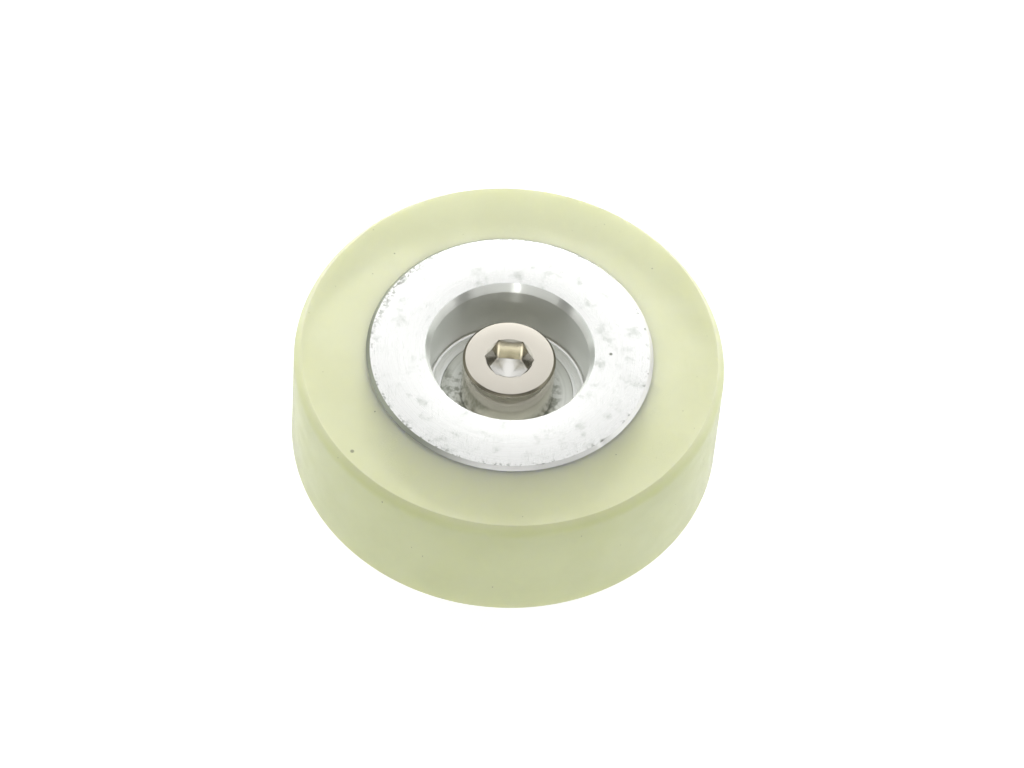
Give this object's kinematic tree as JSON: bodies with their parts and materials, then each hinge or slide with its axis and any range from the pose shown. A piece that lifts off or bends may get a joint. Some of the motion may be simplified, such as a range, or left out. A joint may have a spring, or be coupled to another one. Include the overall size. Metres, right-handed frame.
{
  "type": "cam follower",
  "caption": "Stud-mounted cam follower: a polyurethane-tyred aluminium roller that turns on a shielded ball bearing held by a socket-head screw.",
  "frame": {"origin": "centre of the screw's flat tip, the lowest point of the part", "axes": "+Z along the roller's axis, from the screw's tip to its head; +X and +Y square to it, with two flats of the hexagon socket square to +Y"},
  "size_m": [0.06, 0.06, 0.0347],
  "materials": {
    "tyre_polyurethane": "translucent pale yellow-green cast polyurethane, fine ground surface",
    "hub_aluminium": "turned and lightly scratched, natural",
    "bearing_steel": "ground bearing steel",
    "pressed_steel": "pressed sheet, faintly greasy",
    "screw_nickel": "bright nickel plate, warm",
    "spacer_zinc": "turned steel, bright zinc plate"
  },
  "bodies": {
    "stud": {"screw": "screw_nickel", "spacer": "spacer_zinc", "bearing_inner_ring": "bearing_steel"},
    "roller": {"tyre": "tyre_polyurethane", "hub": "hub_aluminium", "bearing_outer_ring": "bearing_steel", "shield_front": "pressed_steel", "shield_rear": "pressed_steel"},
    "cage": {"cage_front": "pressed_steel", "cage_rear": "pressed_steel", "rivet_1": "pressed_steel", "rivet_2": "pressed_steel", "rivet_3": "pressed_steel", "rivet_4": "pressed_steel", "rivet_5": "pressed_steel", "rivet_6": "pressed_steel", "rivet_7": "pressed_steel"},
    "ball_1": {"ball_1": "bearing_steel"},
    "ball_2": {"ball_2": "bearing_steel"},
    "ball_3": {"ball_3": "bearing_steel"},
    "ball_4": {"ball_4": "bearing_steel"},
    "ball_5": {"ball_5": "bearing_steel"},
    "ball_6": {"ball_6": "bearing_steel"},
    "ball_7": {"ball_7": "bearing_steel"}
  },
  "joints": [
    {"name": "roller_spin", "type": "hinge", "parent": "stud", "child": "roller", "pos_m": [0, 0, 0.0215], "axis": [0, 0, 1], "continuous": true},
    {"name": "cage_spin", "type": "hinge", "parent": "stud", "child": "cage", "pos_m": [0, 0, 0.0215], "axis": [0, 0, 1], "continuous": true},
    {"name": "ball_1_spin", "type": "hinge", "parent": "cage", "child": "ball_1", "pos_m": [0.0075, 0, 0.0215], "axis": [0, 0, 1], "continuous": true},
    {"name": "ball_2_spin", "type": "hinge", "parent": "cage", "child": "ball_2", "pos_m": [0.00468, 0.00586, 0.0215], "axis": [0, 0, 1], "continuous": true},
    {"name": "ball_3_spin", "type": "hinge", "parent": "cage", "child": "ball_3", "pos_m": [-0.00167, 0.00731, 0.0215], "axis": [0, 0, 1], "continuous": true},
    {"name": "ball_4_spin", "type": "hinge", "parent": "cage", "child": "ball_4", "pos_m": [-0.00676, 0.00325, 0.0215], "axis": [0, 0, 1], "continuous": true},
    {"name": "ball_5_spin", "type": "hinge", "parent": "cage", "child": "ball_5", "pos_m": [-0.00676, -0.00325, 0.0215], "axis": [0, 0, 1], "continuous": true},
    {"name": "ball_6_spin", "type": "hinge", "parent": "cage", "child": "ball_6", "pos_m": [-0.00167, -0.00731, 0.0215], "axis": [0, 0, 1], "continuous": true},
    {"name": "ball_7_spin", "type": "hinge", "parent": "cage", "child": "ball_7", "pos_m": [0.00468, -0.00586, 0.0215], "axis": [0, 0, 1], "continuous": true}
  ],
  "couplings": [
    {"joint": "cage_spin", "follows": "roller_spin", "ratio": 0.6323},
    {"joint": "ball_1_spin", "follows": "roller_spin", "ratio": 1.7573},
    {"joint": "ball_2_spin", "follows": "roller_spin", "ratio": 1.7573},
    {"joint": "ball_3_spin", "follows": "roller_spin", "ratio": 1.7573},
    {"joint": "ball_4_spin", "follows": "roller_spin", "ratio": 1.7573},
    {"joint": "ball_5_spin", "follows": "roller_spin", "ratio": 1.7573},
    {"joint": "ball_6_spin", "follows": "roller_spin", "ratio": 1.7573},
    {"joint": "ball_7_spin", "follows": "roller_spin", "ratio": 1.7573}
  ]
}
